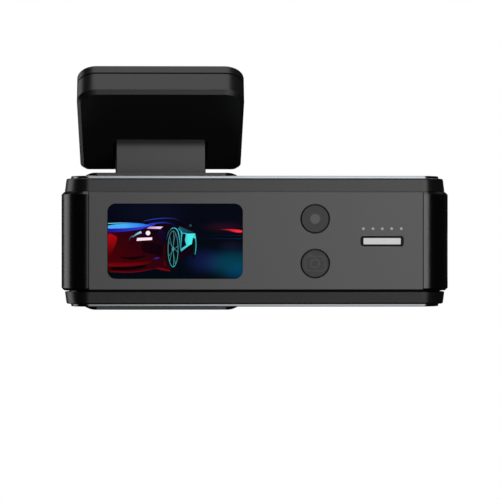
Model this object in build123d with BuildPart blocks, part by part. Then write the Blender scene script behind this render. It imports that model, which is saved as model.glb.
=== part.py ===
from build123d import *

import math
import os

# Dash camera with a windscreen bracket. Millimetres, +Z up. X runs along the body, to the right as the
# driver sees it, and +Y points at the road. The origin is the middle of the adhesive face that sticks to
# the windscreen. Inside the body, "depth" is measured from the faceplate towards the road, "height" from
# the middle of the body upwards, and x from the middle of the body.

# ---- Driving dimensions: windscreen bracket ----
windscreen_rake = 35.0  # slope of the glass above the horizontal, in degrees
pad_width, pad_length, pad_thickness = 36.0, 28.0, 0.8
head_near_width, head_far_width, head_length = 40.6, 39.8, 32.1  # it narrows towards the road
head_near_corner, head_far_corner = 4.8, 2.2  # towards the driver, and towards the road
head_cover_thickness, head_shell_thickness = 2.75, 5.65
head_wall, head_floor, head_bevel = 1.8, 1.5, 0.9
head_cover_edge, head_groove, head_groove_depth = 0.7, 0.4, 0.5
head_screw_x, head_screw_y = 15.4, 11.4
head_post_radius = 2.3
hinge_down_slope = 6.0  # hinge axis from the middle of the head, along the slope
hinge_under_glass = 6.3
pin_radius, pin_length, pin_clearance = 1.0, 30.0, 0.04
pocket_width, pocket_wall = 23.1, 1.4  # the pocket in the head that the arm swings in
pocket_up_slope, pocket_down_slope = 3.1, 5.5  # its reach from the hinge axis
seat_length, seat_width = 3.6, 4.6
washer_radius, washer_thickness = 2.0, 0.4
arm_x, arm_width, arm_thickness = -22.95, 22.2, 4.5
knuckle_radius, knuckle_flare = 2.7, 7.5  # the blade widens into the knuckle with a large hollow radius

# ---- Driving dimensions: outside of the body ----
body_width, body_depth = 94.0, 27.0
face_half_width = 40.05  # the flat faceplate ends at this seam, and the end caps turn away
end_turn_depth = 11.0  # how deep the quarter ellipse of an end cap runs
middle_half_height = 11.9  # faceplate, end caps and front panel
wall = 1.8
cap_chamfer, face_chamfer = 0.6, 0.35
seam_gap, low_seam_gap, side_gap = 0.12, 0.36, 0.2  # shadow gaps: top cover, bottom cover, faceplate ends
butt_gap = 0.05  # between neighbouring pieces of the case, on each side of the seam
cover_inset, cover_draft, cover_edge = 0.8, 0.4, 0.4
cover_top, cover_roof, cover_wall = 15.15, 1.4, 1.6
lip_height, lip_thickness = 0.8, 1.0  # the tongue of a cover that reaches inside the middle pieces
trim_inset, trim_thickness = 2.3, 0.6
hinge_over_body = 25.5  # hinge axis above the middle of the body
hinge_depth = 21.8

# ---- Driving dimensions: driver's side ----
window_x, window_width, window_height, window_corner = -19.45, 32.4, 18.0, 2.0
window_thickness, window_ledge = 0.8, 0.9
button_x, button_height = 14.15, 5.37
button_radius, button_hole_radius, button_flange_radius = 3.35, 3.6, 4.1
button_flange_thickness, button_travel = 0.6, 0.4
light_x, light_length, light_height, light_corner = 30.25, 10.3, 2.64, 0.8
guide_length, guide_height, guide_corner = 8.95, 1.5, 0.2

# ---- Driving dimensions: lens block and lens ----
block_x, block_width, block_height, block_corner = -22.75, 41.2, 33.5, 4.5
block_start, block_end = 14.0, 36.0
block_gap = 0.1
lens_opening_radius, lens_ring_radius, lens_glass_radius = 9.4, 12.0, 8.2
barrel_radius, barrel_thread_radius = 7.4, 6.2
holder_size, holder_ear_x = 17.0, 11.6

# ---- Driving dimensions: inside of the body ----
board_half_width, board_half_height, board_thickness = 41.5, 10.4, 1.0
board_depth = 6.0  # its driver's face
frame_half_width, frame_thickness = 42.4, 1.4
frame_depth = 10.8  # its driver's face
sensor_board_depth, sensor_board_size = 13.1, 15.0
usb_x, usb_width, usb_thickness = 18.0, 8.94, 3.26
jack_x, jack_bore_radius, jack_bore_length, jack_radius = 31.5, 1.3, 9.0, 1.8
card_width, card_length, card_thickness = 11.0, 15.0, 0.8
card_end, card_depth, card_height = 46.4, 8.1, -3.4
processor_x, heat_sink_x, heat_sink_width = 6.0, 9.0, 22.0
speaker_x, speaker_depth = 9.0, 18.5
microphone_x = 21.5

# ---- Driving dimensions: the small screw used everywhere inside ----
screw_radius, screw_length = 0.7, 3.6
screw_head_radius, screw_head_thickness = 1.3, 0.8
lug_places, lug_depth, lug_size = (-30.0, 4.0, 37.5), 10.2, 4.0
board_screws = [(-32.0, 6.4), (-32.0, -6.4), (26.0, 8.0), (26.0, -8.0)]
block_screws = [(block_x + x, z) for x in (-17.2, 17.2) for z in (-8.6, 8.6)]
holder_screws = [(block_x + x, 0) for x in (-holder_ear_x, holder_ear_x)]
foot_screws, foot_screw_depth = (arm_x - 7, arm_x + 7), 27.0

# ---- Where the body hangs from the bracket ----
rake = math.radians(windscreen_rake)
windscreen = Plane(origin=(0, 0, 0), x_dir=(1, 0, 0), z_dir=(0, math.sin(rake), math.cos(rake)))
hinge = windscreen.from_local_coords(Vector(0, hinge_down_slope, -hinge_under_glass))
hinge_plane = Plane(origin=hinge, x_dir=(0, 1, 0), z_dir=(1, 0, 0))
body_x = -arm_x
face_y = hinge.Y - hinge_depth
body_z = hinge.Z - hinge_over_body

board_rear = board_depth + board_thickness
frame_rear = frame_depth + frame_thickness
roof_underside = cover_top - cover_roof
trim_top = cover_top + trim_thickness
opening_width = window_width - 2 * window_ledge
opening_height = window_height - 2 * window_ledge


def under_glass(drop):
    """Plane parallel to the windscreen, `drop` below it. Its y runs down the slope, to the road."""
    return windscreen.offset(-drop)


def level(height):
    """Horizontal plane at a height of the body. Its x runs along the body, its y is the depth."""
    return Plane(origin=(body_x, face_y, body_z + height), x_dir=(1, 0, 0), z_dir=(0, 0, 1))


def across(depth):
    """Upright plane at a depth of the body. Its y is the height. It extrudes towards the driver."""
    return Plane(origin=(body_x, face_y + depth, body_z), x_dir=(1, 0, 0), z_dir=(0, -1, 0))


def end_on(x):
    """Upright plane across the body at x. Its x is the depth, its y the height. It extrudes along +X."""
    return Plane(origin=(body_x + x, face_y, body_z), x_dir=(0, 1, 0), z_dir=(1, 0, 0))


def body_plan(inset):
    """The body seen from above, drawn `inset` inside its outline: two straight sides, elliptical ends."""
    near, far = inset, body_depth - inset
    turn_x, turn_y = body_width / 2 - face_half_width - inset, end_turn_depth - inset
    right = body_width / 2 - inset
    with BuildSketch() as plan:
        with BuildLine():
            Line((-face_half_width, near), (face_half_width, near))
            EllipticalCenterArc((face_half_width, near + turn_y), turn_x, turn_y, -90, arc_size=90)
            Line((right, near + turn_y), (right, far - turn_y))
            EllipticalCenterArc((face_half_width, far - turn_y), turn_x, turn_y, 0, arc_size=90)
            Line((face_half_width, far), (-face_half_width, far))
            EllipticalCenterArc((-face_half_width, far - turn_y), turn_x, turn_y, 90, arc_size=90)
            Line((-right, far - turn_y), (-right, near + turn_y))
            EllipticalCenterArc((-face_half_width, near + turn_y), turn_x, turn_y, 180, arc_size=90)
        make_face()
    return plan.sketch


def head_plan(inset):
    """The head seen from the glass, drawn `inset` inside its outline. Its y runs down the slope."""
    near, far = head_near_width / 2 - inset, head_far_width / 2 - inset
    end = head_length / 2 - inset
    with BuildSketch() as plan:
        with BuildLine():
            Polyline((-near, -end), (near, -end), (far, end), (-far, end), close=True)
        make_face()
        fillet(plan.vertices().group_by(Axis.Y)[0], head_near_corner - inset)
        fillet(plan.vertices().group_by(Axis.Y)[-1], max(head_far_corner - inset, 0.4))
    return plan.sketch


def save(piece, name):
    """Labels a finished piece and writes it as its own STEP file."""
    piece.part.label = name
    export_step(piece.part, f"parts/{name}.step")


os.makedirs("parts", exist_ok=True)

# =====================================================================================================
# Windscreen bracket
# =====================================================================================================
cover_under = pad_thickness + head_cover_thickness  # where the head's cover meets its shell
shell_under = cover_under + head_shell_thickness
floor_top = shell_under - head_floor
glass_normal = Axis((0, 0, 0), windscreen.z_dir)
pocket_y = hinge_down_slope + (pocket_down_slope - pocket_up_slope) / 2
pocket_length = pocket_up_slope + pocket_down_slope
seat_x = pocket_width / 2 + pocket_wall + seat_length / 2
head_posts = [(x, y) for x in (-head_screw_x, head_screw_x) for y in (-head_screw_y, head_screw_y)]

# ---- Adhesive pad ----
with BuildPart() as adhesive_pad:
    with BuildSketch(under_glass(pad_thickness)):
        RectangleRounded(pad_width, pad_length, 3)
    extrude(amount=pad_thickness)
save(adhesive_pad, "adhesive_pad")

# ---- Cover of the head: a plate with a groove along its seam, and two ribs that hold the hinge pin ----
rib_under = hinge_under_glass - pin_radius
rib_x = (pocket_width / 2 + pocket_wall + pin_length / 2) / 2
with BuildPart() as mount_cover:
    with BuildSketch(under_glass(cover_under - head_groove)):
        add(head_plan(0))
    extrude(amount=head_cover_thickness - head_groove)
    fillet(mount_cover.faces().sort_by(glass_normal)[-1].edges(), head_cover_edge)
    with BuildSketch(under_glass(cover_under)):
        add(head_plan(head_groove_depth))
    extrude(amount=head_groove)
    with BuildSketch(under_glass(rib_under)):
        with Locations((-rib_x, hinge_down_slope), (rib_x, hinge_down_slope)):
            Rectangle(2, 2 * pin_radius - 0.2)
    extrude(amount=rib_under - cover_under)
    with BuildSketch(under_glass(cover_under)):
        with Locations(*head_posts):
            Circle(screw_radius)
    extrude(amount=head_cover_thickness, mode=Mode.SUBTRACT)
    with BuildSketch(under_glass(pad_thickness)):
        with Locations(*head_posts):
            Circle(screw_head_radius)
    extrude(amount=-screw_head_thickness, mode=Mode.SUBTRACT)
save(mount_cover, "mount_cover")

# ---- Shell of the head: a bevelled tray with the arm's pocket, the pin's seats and four screw posts ----
with BuildPart() as mount_shell:
    with BuildSketch(under_glass(shell_under)):
        add(head_plan(0))
    extrude(amount=head_shell_thickness)
    chamfer(mount_shell.faces().sort_by(glass_normal)[0].edges(), head_bevel)
    with BuildSketch(under_glass(floor_top)):
        add(head_plan(head_wall))
    extrude(amount=floor_top - cover_under, mode=Mode.SUBTRACT)
    with BuildSketch(under_glass(shell_under - head_bevel)):
        with Locations((0, pocket_y)):
            Rectangle(pocket_width + 2 * pocket_wall, pocket_length + 2 * pocket_wall)
        with Locations((-seat_x, hinge_down_slope), (seat_x, hinge_down_slope)):
            Rectangle(seat_length, seat_width)
        with Locations(*head_posts):
            Circle(head_post_radius)
    extrude(amount=shell_under - head_bevel - cover_under)
    with BuildSketch(under_glass(shell_under)):
        with Locations((0, pocket_y)):
            Rectangle(pocket_width, pocket_length)
    extrude(amount=head_shell_thickness, mode=Mode.SUBTRACT)
    with BuildSketch(under_glass(hinge_under_glass)):
        with Locations((0, hinge_down_slope)):
            Rectangle(pin_length, 2 * pin_radius)
    extrude(amount=hinge_under_glass - cover_under, mode=Mode.SUBTRACT)
    with BuildSketch(hinge_plane):
        Circle(pin_radius)
    extrude(amount=pin_length / 2, both=True, mode=Mode.SUBTRACT)
    with BuildSketch(under_glass(cover_under)):
        with Locations(*head_posts):
            Circle(screw_radius)
    extrude(amount=-screw_length, mode=Mode.SUBTRACT)
save(mount_shell, "mount_shell")

# ---- The small screw, head on top of the z = 0 plane, used in the head and all over the body ----
with BuildPart() as small_screw:
    with BuildSketch():
        Circle(screw_head_radius)
    extrude(amount=screw_head_thickness)
    chamfer(small_screw.faces().sort_by(Axis.Z)[-1].edges(), 0.2)
    with BuildSketch(Plane.XY.offset(-screw_length)):
        Circle(screw_radius)
    extrude(amount=screw_length)
    with BuildSketch(Plane.XY.offset(screw_head_thickness)):
        Rectangle(1.4, 0.35)
        Rectangle(0.35, 1.4)
    extrude(amount=-0.4, mode=Mode.SUBTRACT)

with BuildPart() as mount_screws:
    with Locations(under_glass(pad_thickness + screw_head_thickness)):
        with Locations(*head_posts):
            add(small_screw.part)
save(mount_screws, "mount_screws")

# ---- Hinge pin and the friction washers on either side of the arm ----
with BuildPart() as hinge_pin:
    with BuildSketch(hinge_plane):
        Circle(pin_radius)
    extrude(amount=pin_length / 2, both=True)
    chamfer(hinge_pin.edges().filter_by(GeomType.CIRCLE), 0.2)
save(hinge_pin, "hinge_pin")

with BuildPart() as friction_washers:
    for inner_face in (pocket_width / 2 - washer_thickness, -pocket_width / 2):
        with BuildSketch(hinge_plane.offset(inner_face)):
            Circle(washer_radius)
            Circle(pin_radius, mode=Mode.SUBTRACT)
        extrude(amount=washer_thickness)
save(friction_washers, "friction_washers")

# =====================================================================================================
# Body, on the end of the arm
# =====================================================================================================

# ---- Arm: knuckle round the pin, a flat blade, and a foot inside the lens block ----
foot_top = block_height / 2 - wall
foot_thickness, foot_near, foot_far = 2.2, 18.0, 29.5
with BuildPart() as bracket_arm:
    with BuildSketch(end_on(arm_x - arm_width / 2)) as arm_profile:
        with Locations((hinge_depth, hinge_over_body)):
            Circle(knuckle_radius)
        with Locations((hinge_depth, (hinge_over_body + foot_top) / 2)):
            Rectangle(arm_thickness, hinge_over_body - foot_top)
        with Locations(((foot_near + foot_far) / 2, foot_top - foot_thickness / 2)):
            Rectangle(foot_far - foot_near, foot_thickness)
        knuckle_joints = arm_profile.vertices().filter_by_position(
            Axis.Y, hinge_over_body - knuckle_radius, hinge_over_body - 1
        )
        fillet(knuckle_joints, knuckle_flare)
    extrude(amount=arm_width)
    blade_corners = bracket_arm.edges().filter_by(Axis.Z).filter_by_position(
        Axis.Z, body_z + foot_top + 1, body_z + hinge_over_body
    )
    fillet(blade_corners, 0.4)
    with BuildSketch(hinge_plane):
        Circle(pin_radius + pin_clearance)
    extrude(amount=arm_width, both=True, mode=Mode.SUBTRACT)
    with BuildSketch(level(foot_top - foot_thickness)):
        with Locations(*[(x, foot_screw_depth) for x in foot_screws]):
            Circle(screw_radius)
    extrude(amount=foot_thickness, mode=Mode.SUBTRACT)
save(bracket_arm, "bracket_arm")

# ---- Lens block: a box open towards the driver, with a lens opening, an arm slot and four bosses ----
with BuildPart() as lens_block:
    with BuildSketch(across(block_end)):
        with Locations((block_x, 0)):
            RectangleRounded(block_width, block_height, block_corner)
    extrude(amount=block_end - block_start)
    fillet(lens_block.faces().sort_by(Axis.Y)[-1].edges(), 1.2)
    with BuildSketch(across(block_end - wall)):
        with Locations((block_x, 0)):
            RectangleRounded(block_width - 2 * wall, block_height - 2 * wall, block_corner - wall)
    extrude(amount=block_end - wall - block_start, mode=Mode.SUBTRACT)
    with BuildSketch(across(block_start + 8)):
        with Locations(*block_screws):
            Circle(2)
    extrude(amount=block_start + 8 - frame_rear)
    with BuildSketch(across(frame_rear + 4)):
        with Locations(*block_screws):
            Circle(screw_radius)
    extrude(amount=4, mode=Mode.SUBTRACT)
    with BuildSketch(across(block_end)):
        with Locations((block_x, 0)):
            Circle(lens_opening_radius)
    extrude(amount=wall, mode=Mode.SUBTRACT)
    with BuildSketch(level(foot_top)):
        with Locations(*[(x, foot_screw_depth) for x in foot_screws]):
            Circle(screw_radius)
    extrude(amount=wall - 0.4, mode=Mode.SUBTRACT)
    with BuildSketch(level(foot_top)):
        with Locations((arm_x, hinge_depth)):
            Rectangle(arm_width + 2 * butt_gap, arm_thickness + 2 * butt_gap)
    extrude(amount=wall, mode=Mode.SUBTRACT)
save(lens_block, "lens_block")

# ---- The room that the lens block takes out of the case ----
with BuildPart() as block_room:
    with BuildSketch(across(body_depth + 1)):
        with Locations((block_x, 0)):
            Rectangle(block_width + 2 * block_gap, block_height)
    extrude(amount=body_depth + 1 - block_start + block_gap)

# ---- End caps, cut from one ring that runs round the middle of the body ----
with BuildPart() as middle_ring:
    with BuildSketch(level(-middle_half_height)):
        add(body_plan(0))
    extrude(amount=2 * middle_half_height)
    chamfer(middle_ring.faces().filter_by(Axis.Z).edges(), cap_chamfer)
    with BuildSketch(level(-middle_half_height)):
        add(body_plan(wall))
    extrude(amount=2 * middle_half_height, mode=Mode.SUBTRACT)

with BuildPart() as left_end_cap:
    add(middle_ring.part)
    with BuildSketch(end_on(-body_width / 2)):
        Rectangle(2 * body_depth, 2 * middle_half_height)
    extrude(amount=body_width / 2 - face_half_width - side_gap, mode=Mode.INTERSECT)
    add(block_room.part, mode=Mode.SUBTRACT)
save(left_end_cap, "left_end_cap")

with BuildPart() as right_end_cap:
    add(middle_ring.part)
    with BuildSketch(end_on(face_half_width + side_gap)):
        Rectangle(2 * body_depth, 2 * middle_half_height)
    extrude(amount=body_width / 2 - face_half_width, mode=Mode.INTERSECT)
    with BuildSketch(end_on(face_half_width)):
        with Locations((card_depth, card_height)):
            SlotOverall(card_width + 1.4, card_thickness + 0.8, rotation=90)
    extrude(amount=body_width / 2 - face_half_width, mode=Mode.SUBTRACT)
save(right_end_cap, "right_end_cap")

# ---- Faceplate ----
with BuildPart() as faceplate:
    with BuildSketch(across(wall)):
        Rectangle(2 * face_half_width, 2 * middle_half_height)
    extrude(amount=wall)
    chamfer(faceplate.faces().sort_by(Axis.Y)[0].edges().filter_by(Axis.X), face_chamfer)
    with BuildSketch(across(wall)):
        with Locations((window_x, 0)):
            Rectangle(opening_width, opening_height)
        with Locations((button_x, button_height), (button_x, -button_height)):
            Circle(button_hole_radius)
        with Locations((light_x, 0)):
            RectangleRounded(
                light_length + 2 * butt_gap, light_height + 2 * butt_gap, light_corner + butt_gap
            )
    extrude(amount=wall, mode=Mode.SUBTRACT)
    with BuildSketch(across(window_thickness)):
        with Locations((window_x, 0)):
            RectangleRounded(
                window_width + 2 * butt_gap, window_height + 2 * butt_gap, window_corner + butt_gap
            )
    extrude(amount=window_thickness, mode=Mode.SUBTRACT)
save(faceplate, "faceplate")

# ---- Front panel: the road side of the case beside the lens block, with vents behind the heat sink ----
panel_left = block_x + block_width / 2 + block_gap
with BuildPart() as front_panel:
    with BuildSketch(across(body_depth)):
        with Locations(((panel_left + face_half_width) / 2, 0)):
            Rectangle(face_half_width - panel_left, 2 * middle_half_height)
    extrude(amount=wall)
    chamfer(front_panel.faces().sort_by(Axis.Y)[-1].edges().filter_by(Axis.X), face_chamfer)
    with BuildSketch(across(body_depth)):
        with Locations((heat_sink_x + 2, 0)):
            with GridLocations(0, 3.2, 1, 5):
                SlotOverall(20, 1.4)
    extrude(amount=wall, mode=Mode.SUBTRACT)
save(front_panel, "front_panel")

# ---- Covers: shallow drafted trays with a tongue inside the middle pieces ----
cover_start = middle_half_height + seam_gap
lip_start = middle_half_height - lip_height
with BuildPart() as cover_blank:
    with BuildSketch(level(cover_start)):
        add(body_plan(cover_inset))
    with BuildSketch(level(cover_top)):
        add(body_plan(cover_inset + cover_draft))
    loft(ruled=True)
    fillet(cover_blank.faces().sort_by(Axis.Z)[-1].edges(), cover_edge)
    with BuildSketch(level(cover_start)):
        add(body_plan(cover_inset + cover_wall))
    extrude(amount=roof_underside - cover_start, mode=Mode.SUBTRACT)
    with BuildSketch(level(lip_start)):
        add(body_plan(wall + butt_gap))
        add(body_plan(wall + butt_gap + lip_thickness), mode=Mode.SUBTRACT)
    extrude(amount=roof_underside - lip_start)
    with BuildSketch(level(roof_underside)):
        with Locations(*[(x, lug_depth) for x in lug_places]):
            Circle(screw_radius)
    extrude(amount=cover_roof, mode=Mode.SUBTRACT)
    with BuildSketch(level(cover_top)):
        with Locations(*[(x, lug_depth) for x in lug_places]):
            Circle(screw_head_radius)
    extrude(amount=-screw_head_thickness, mode=Mode.SUBTRACT)
    add(block_room.part, mode=Mode.SUBTRACT)

# ---- Openings for the two sockets in the top, and for the speaker and microphone in the bottom ----
usb_depth = board_rear + usb_thickness / 2
jack_depth = board_rear + jack_radius
with BuildPart() as socket_openings:
    with BuildSketch(level(roof_underside - 3)):
        with Locations((usb_x, usb_depth)):
            SlotOverall(usb_width + 2 * butt_gap, usb_thickness + 2 * butt_gap)
        with Locations((jack_x, jack_depth)):
            Circle(jack_radius + butt_gap)
    extrude(amount=6)

with BuildPart() as speaker_openings:
    with BuildSketch(level(-trim_top)):
        with Locations((speaker_x, speaker_depth)):
            with GridLocations(2.6, 0, 6, 1):
                SlotOverall(7, 1.1, rotation=90)
        with Locations((microphone_x, board_depth - 0.8)):
            Circle(0.5)
    extrude(amount=3)

with BuildPart() as top_cover:
    add(cover_blank.part)
    add(socket_openings.part, mode=Mode.SUBTRACT)
save(top_cover, "top_cover")

with BuildPart() as bottom_cover:
    mirror(cover_blank.part, about=level(0))
    with BuildSketch(level(-cover_start)):
        add(body_plan(0))
        add(body_plan(wall + butt_gap), mode=Mode.SUBTRACT)
    extrude(amount=seam_gap - low_seam_gap, mode=Mode.SUBTRACT)
    add(speaker_openings.part, mode=Mode.SUBTRACT)
save(bottom_cover, "bottom_cover")

# ---- Trims: thin metal plates glued over the covers and their screws ----
with BuildPart() as trim_blank:
    with BuildSketch(level(cover_top)):
        add(body_plan(trim_inset))
    extrude(amount=trim_thickness)
    chamfer(trim_blank.faces().sort_by(Axis.Z)[-1].edges(), 0.15)
    add(block_room.part, mode=Mode.SUBTRACT)

with BuildPart() as top_trim:
    add(trim_blank.part)
    add(socket_openings.part, mode=Mode.SUBTRACT)
save(top_trim, "top_trim")

with BuildPart() as bottom_trim:
    mirror(trim_blank.part, about=level(0))
    add(speaker_openings.part, mode=Mode.SUBTRACT)
save(bottom_trim, "bottom_trim")

# =====================================================================================================
# Driver's side
# =====================================================================================================

# ---- Screen: window, gasket, module and ribbon ----
gasket_thickness, display_width, display_height, display_thickness = 0.3, 36.3, 19.8, 1.5
with BuildPart() as display_window:
    with BuildSketch(across(window_thickness)):
        with Locations((window_x, 0)):
            RectangleRounded(window_width, window_height, window_corner)
    extrude(amount=window_thickness)
save(display_window, "display_window")

with BuildPart() as display_gasket:
    with BuildSketch(across(wall + gasket_thickness)):
        with Locations((window_x, 0)):
            Rectangle(display_width, display_height)
            Rectangle(opening_width, opening_height, mode=Mode.SUBTRACT)
    extrude(amount=gasket_thickness)
save(display_gasket, "display_gasket")

display_rear = wall + gasket_thickness + display_thickness
with BuildPart() as display_module:
    with BuildSketch(across(display_rear)):
        with Locations((window_x, 0)):
            Rectangle(display_width, display_height)
    extrude(amount=display_thickness)
save(display_module, "display_module")

ribbon = 0.2
with BuildPart() as display_flex:
    with BuildSketch(end_on(window_x - 5)):
        with BuildLine() as fold:
            FilletPolyline(
                (display_rear - 0.8, -display_height / 2),
                (display_rear - 0.8, -display_height / 2 - 0.5),
                (board_depth - ribbon / 2, -display_height / 2 - 0.5),
                (board_depth - ribbon / 2, -5),
                radius=0.4,
            )
        trace(fold.line, line_width=ribbon)
    extrude(amount=10)
save(display_flex, "display_flex")

# ---- Keys: a round cap with a flange behind the faceplate and a stem that presses the membrane ----
flange_depth = wall + 0.1
stem_end = flange_depth + button_flange_thickness + 0.8
for height, name in ((button_height, "record_button"), (-button_height, "snapshot_button")):
    with BuildPart() as button:
        with BuildSketch(across(flange_depth)):
            with Locations((button_x, height)):
                Circle(button_radius)
        extrude(amount=flange_depth)
        chamfer(button.faces().sort_by(Axis.Y)[0].edges(), 0.15)
        with BuildSketch(across(flange_depth + button_flange_thickness)):
            with Locations((button_x, height)):
                Circle(button_flange_radius)
        extrude(amount=button_flange_thickness)
        with BuildSketch(across(stem_end)):
            with Locations((button_x, height)):
                Circle(1.0)
        extrude(amount=stem_end - flange_depth)
    save(button, name)

membrane_depth, membrane_thickness = stem_end + button_travel + 0.1, 0.4
with BuildPart() as keypad_membrane:
    with BuildSketch(across(membrane_depth + membrane_thickness)):
        with Locations((button_x, 0)):
            RectangleRounded(9, 19, 1.5)
    extrude(amount=membrane_thickness)
save(keypad_membrane, "keypad_membrane")

with BuildPart() as tactile_switches:
    with BuildSketch(across(board_depth)):
        with Locations((button_x, button_height), (button_x, -button_height)):
            Rectangle(4.5, 4.5)
    extrude(amount=board_depth - membrane_depth - membrane_thickness)
save(tactile_switches, "tactile_switches")

# ---- Status light: black ring, lit bar with a flange behind the ring, and three lamps ----
guide_depth, ring_depth = 4.8, 2.2
with BuildPart() as status_light_surround:
    with BuildSketch(across(ring_depth)):
        with Locations((light_x, 0)):
            RectangleRounded(light_length, light_height, light_corner)
            RectangleRounded(guide_length, guide_height, guide_corner, mode=Mode.SUBTRACT)
    extrude(amount=ring_depth)
save(status_light_surround, "status_light_surround")

with BuildPart() as status_light_guide:
    with BuildSketch(across(guide_depth)):
        with Locations((light_x, 0)):
            RectangleRounded(guide_length, guide_height, guide_corner)
    extrude(amount=guide_depth)
    with BuildSketch(across(ring_depth + 0.6)):
        with Locations((light_x, 0)):
            RectangleRounded(guide_length + 1.2, guide_height + 1.2, guide_corner)
    extrude(amount=0.6)
save(status_light_guide, "status_light_guide")

with BuildPart() as status_leds:
    with BuildSketch(across(board_depth)):
        with Locations((light_x, 0)):
            with GridLocations(2.8, 0, 3, 1):
                Rectangle(1.6, 0.8)
    extrude(amount=0.7)
save(status_leds, "status_leds")

# =====================================================================================================
# Electronics
# =====================================================================================================

# ---- Main board ----
with BuildPart() as main_board:
    with BuildSketch(across(board_rear)):
        RectangleRounded(2 * board_half_width, 2 * board_half_height, 1.5)
        with Locations(*board_screws):
            Circle(screw_radius, mode=Mode.SUBTRACT)
    extrude(amount=board_thickness)
save(main_board, "main_board")

# ---- Processor and thermal pad, between the board and the frame's raised land ----
processor_size, processor_thickness, thermal_pad_thickness = 12.0, 1.2, 0.8
land_depth = board_rear + processor_thickness + thermal_pad_thickness
with BuildPart() as processor:
    with BuildSketch(across(board_rear + processor_thickness)):
        with Locations((processor_x, 0)):
            Rectangle(processor_size, processor_size)
    extrude(amount=processor_thickness)
save(processor, "processor")

with BuildPart() as thermal_pad:
    with BuildSketch(across(land_depth)):
        with Locations((processor_x, 0)):
            Rectangle(processor_size, processor_size)
    extrude(amount=thermal_pad_thickness)
save(thermal_pad, "thermal_pad")

# ---- Inner frame: plate with standoffs for the board, lugs for the covers and posts for the lens ----
with BuildPart() as inner_frame:
    with BuildSketch(across(frame_rear)):
        RectangleRounded(2 * frame_half_width, 2 * board_half_height + 0.2, 2)
        with Locations((block_x, -6)):
            Rectangle(11, 5, mode=Mode.SUBTRACT)
    extrude(amount=frame_thickness)
    with BuildSketch(across(frame_depth)):
        with Locations((processor_x, 0)):
            Rectangle(processor_size + 2, processor_size + 2)
    extrude(amount=frame_depth - land_depth)
    with BuildSketch(across(frame_depth)):
        with Locations(*board_screws):
            Circle(1.8)
    extrude(amount=frame_depth - board_rear)
    with BuildSketch(across(frame_rear + 1.7)):
        with Locations(*holder_screws):
            Circle(1.8)
    extrude(amount=1.7)
    with BuildSketch(level(board_half_height - 0.6)):
        with Locations(*[(x, lug_depth) for x in lug_places]):
            Rectangle(lug_size, lug_size)
    extrude(amount=roof_underside - board_half_height + 0.6)
    with BuildSketch(level(-roof_underside)):
        with Locations(*[(x, lug_depth) for x in lug_places]):
            Rectangle(lug_size, lug_size)
    extrude(amount=roof_underside - board_half_height + 0.6)
    for bottom in (roof_underside - screw_length, -roof_underside):
        with BuildSketch(level(bottom)):
            with Locations(*[(x, lug_depth) for x in lug_places]):
                Circle(screw_radius)
        extrude(amount=screw_length, mode=Mode.SUBTRACT)
    with BuildSketch(across(frame_rear + 1.7)):
        with Locations(*board_screws, *block_screws, *holder_screws):
            Circle(screw_radius)
    extrude(amount=frame_rear + 1.7 - board_rear, mode=Mode.SUBTRACT)
save(inner_frame, "inner_frame")

# ---- Heat sink: a base plate on the frame and upright fins towards the vents ----
fin_count, fin_pitch, fin_thickness, fin_end, sink_base = 7, 3.4, 1.2, 24.6, 1.8
with BuildPart() as heat_sink:
    with BuildSketch(across(frame_rear + sink_base)):
        with Locations((heat_sink_x, 1)):
            Rectangle(heat_sink_width, 17)
    extrude(amount=sink_base)
    with BuildSketch(across(fin_end)):
        with Locations((heat_sink_x, 1)):
            with GridLocations(fin_pitch, 0, fin_count, 1):
                Rectangle(fin_thickness, 17)
    extrude(amount=fin_end - frame_rear - sink_base)
save(heat_sink, "heat_sink")

# ---- Supercapacitors, upright behind the frame ----
cell_radius, cell_length, cell_places = 4.0, 19.0, (26.5, 35.3)
with BuildPart() as supercapacitors:
    with BuildSketch(level(-cell_length / 2)):
        with Locations(*[(x, frame_rear + cell_radius) for x in cell_places]):
            Circle(cell_radius)
    extrude(amount=cell_length)
    fillet(supercapacitors.edges().filter_by(GeomType.CIRCLE), 0.6)
save(supercapacitors, "supercapacitors")

# ---- Speaker over its grille, and microphone over its hole ----
speaker_thickness = 3.4
with BuildPart() as speaker:
    with BuildSketch(level(-roof_underside)):
        with Locations((speaker_x, speaker_depth)):
            RectangleRounded(20, 10, 4)
    extrude(amount=speaker_thickness)
    with BuildSketch(level(-roof_underside)):
        with Locations((speaker_x, speaker_depth)):
            RectangleRounded(17, 7.4, 3)
    extrude(amount=0.8, mode=Mode.SUBTRACT)
save(speaker, "speaker")

with BuildPart() as microphone:
    with BuildSketch(across(board_depth)):
        with Locations((microphone_x, -8.2)):
            Rectangle(3.5, 2.7)
    extrude(amount=1.1)
save(microphone, "microphone")

# ---- Power socket: a hollow steel shell standing on the board, with its tongue ----
usb_mouth, usb_length = trim_top - 0.2, 8.8
with BuildPart() as usb_c_socket:
    with BuildSketch(level(usb_mouth - usb_length)):
        with Locations((usb_x, usb_depth)):
            SlotOverall(usb_width, usb_thickness)
    extrude(amount=usb_length)
    with BuildSketch(level(usb_mouth)):
        with Locations((usb_x, usb_depth)):
            SlotOverall(usb_width - 0.6, usb_thickness - 0.6)
    extrude(amount=-usb_length + 1.5, mode=Mode.SUBTRACT)
    with BuildSketch(level(usb_mouth - usb_length)):
        with Locations((usb_x, usb_depth)):
            Rectangle(6.7, 0.7)
    extrude(amount=usb_length - 0.6)
save(usb_c_socket, "usb_c_socket")

# ---- Socket for the second camera: a round barrel with a bore from the top ----
with BuildPart() as rear_camera_jack:
    with BuildSketch(level(trim_top - jack_bore_length - 2)):
        with Locations((jack_x, jack_depth)):
            Circle(jack_radius)
    extrude(amount=jack_bore_length + 2)
    with BuildSketch(level(trim_top)):
        with Locations((jack_x, jack_depth)):
            Circle(jack_bore_radius)
    extrude(amount=-jack_bore_length, mode=Mode.SUBTRACT)
save(rear_camera_jack, "rear_camera_jack")

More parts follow.
